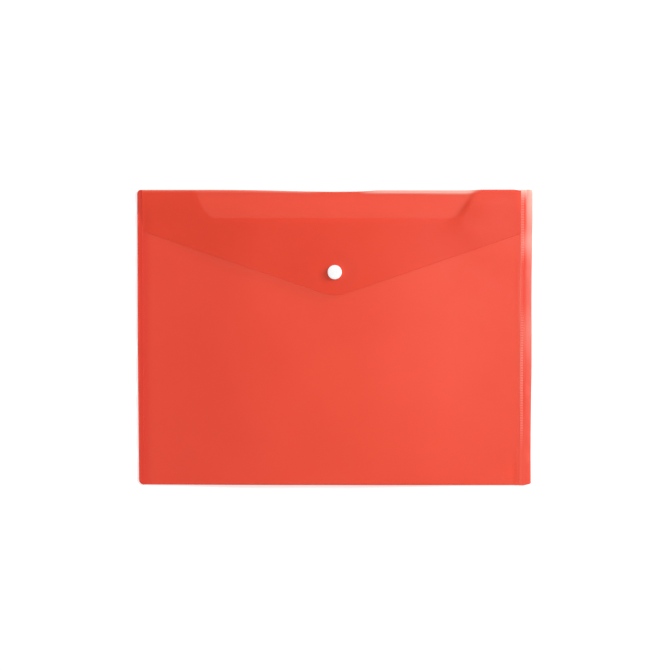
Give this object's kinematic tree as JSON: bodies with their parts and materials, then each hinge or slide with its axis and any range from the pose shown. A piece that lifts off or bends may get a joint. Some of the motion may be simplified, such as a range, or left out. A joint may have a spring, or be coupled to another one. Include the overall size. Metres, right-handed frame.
{
  "type": "document wallet",
  "caption": "Flat translucent film wallet for loose papers, with knurled side welds, a thumb cut in its mouth and a pointed flap that snaps shut with a round popper.",
  "frame": {"origin": "centre of the wallet's outline, on the face that it lies on", "axes": "+X along the wallet's width, +Y towards the top crease, +Z out of the front"},
  "size_m": [0.33, 0.2476, 0.0075],
  "materials": {
    "film": "satin translucent polypropylene film",
    "popper": "moulded white plastic"
  },
  "bodies": {
    "pocket": {"back_panel": "film", "front_panel": "film", "popper_dimple": "film", "left_side_fold": "film", "right_side_fold": "film", "left_weld": "film", "right_weld": "film", "left_margin": "film", "right_margin": "film", "bottom_fold_front": "film", "bottom_fold_rear": "film", "top_crease": "film", "popper_stud": "popper", "stud_backing": "popper"},
    "flap": {"flap_panel": "film", "popper_cap": "popper", "popper_socket": "popper"}
  },
  "joints": [
    {"name": "flap_hinge", "type": "hinge", "parent": "pocket", "child": "flap", "pos_m": [0, 0.12085, 0.00295], "axis": [-1, 0, 0], "range_deg": [0, 178], "deforming": ["top_crease"]}
  ]
}
